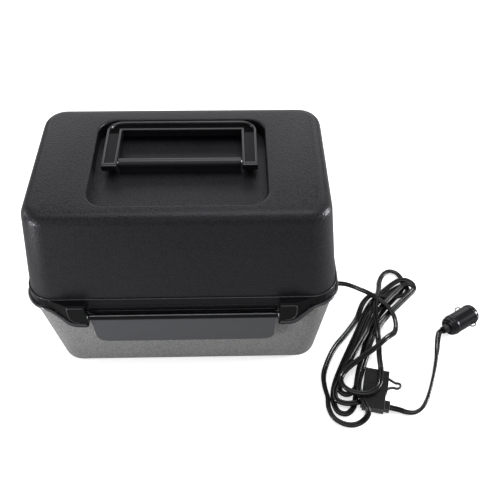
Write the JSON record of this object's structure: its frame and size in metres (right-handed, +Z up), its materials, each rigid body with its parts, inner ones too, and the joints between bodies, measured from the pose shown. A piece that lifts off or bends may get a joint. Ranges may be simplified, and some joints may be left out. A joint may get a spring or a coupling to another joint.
{
  "type": "electric lunch box",
  "caption": "Black insulated electric lunch box with a hinged lid, front latch, folding top handle and a coiled twin lead with a fuse holder and a 12 volt plug.",
  "frame": {"origin": "on the floor, under the middle of the case", "axes": "+X to the right along the case's width, -Y to the front where the latch is, +Z up"},
  "size_m": [0.4301, 0.2392, 0.198],
  "materials": {
    "case_plastic": "satin black, fine leather grain",
    "gloss_plastic": "smooth gloss black",
    "flex_plastic": "flexible satin black",
    "lining": "satin anodised sheet",
    "steel": "bright plated steel",
    "wool": "mineral wool",
    "mica": "pressed mica sheet",
    "ribbon": "nickel chrome ribbon",
    "contact_brass": "plain brass",
    "block": "off-white steatite",
    "seal": "grey silicone rubber",
    "foot": "matt black rubber",
    "wire": "red silicone insulation",
    "fuse": "translucent amber"
  },
  "bodies": {
    "base": {"base_shell": "case_plastic", "base_insulation": "wool", "base_liner": "lining", "heater_cover": "mica", "heater_ribbon": "ribbon", "heater_board": "mica", "heater_clamp": "steel", "heater_nuts": "steel", "heater_terminals": "contact_brass", "thermostat": "steel", "thermal_fuse": "block", "terminal_block": "block", "inner_leads": "wire", "base_liner_screws": "steel", "rubber_feet": "foot", "hinge_pins": "steel", "cord_gland": "flex_plastic", "cord_lead": "flex_plastic", "cord_hank": "flex_plastic", "cord_tail": "flex_plastic", "fuse_holder_body": "gloss_plastic", "fuse_holder_cap": "gloss_plastic", "fuse_cap_tether": "flex_plastic", "blade_fuse": "fuse", "fuse_contacts": "contact_brass", "plug_body": "gloss_plastic", "plug_collar": "gloss_plastic", "plug_ring": "gloss_plastic", "plug_side_contacts": "steel", "plug_strain_relief": "flex_plastic"},
    "lid": {"lid_shell": "case_plastic", "lid_insulation": "wool", "lid_liner": "lining", "lid_seal": "seal", "lid_liner_screws": "steel", "handle_pivot_bar": "gloss_plastic", "handle_bar_screws": "steel", "handle_pins": "steel", "latch_pin_rod": "steel"},
    "handle": {"handle": "gloss_plastic"},
    "latch": {"latch": "case_plastic"},
    "plug_tip": {"plug_tip": "steel"}
  },
  "joints": [
    {"name": "lid_hinge", "type": "hinge", "parent": "base", "child": "lid", "pos_m": [0, 0.0895, 0.0982], "axis": [-1, 0, 0], "range_deg": [0, 105]},
    {"name": "latch_hinge", "type": "hinge", "parent": "lid", "child": "latch", "pos_m": [0, -0.088, 0.0946], "axis": [-1, 0, 0], "range_deg": [0, 100]},
    {"name": "handle_hinge", "type": "hinge", "parent": "lid", "child": "handle", "pos_m": [0, -0.0015, 0.194], "axis": [1, 0, 0], "range_deg": [0, 90]},
    {"name": "plug_tip_slide", "type": "slide", "parent": "base", "child": "plug_tip", "axis": [-0.8526, -0.5225, 0], "range_m": [0, 0.003], "stiffness_N_per_m": 1500}
  ]
}
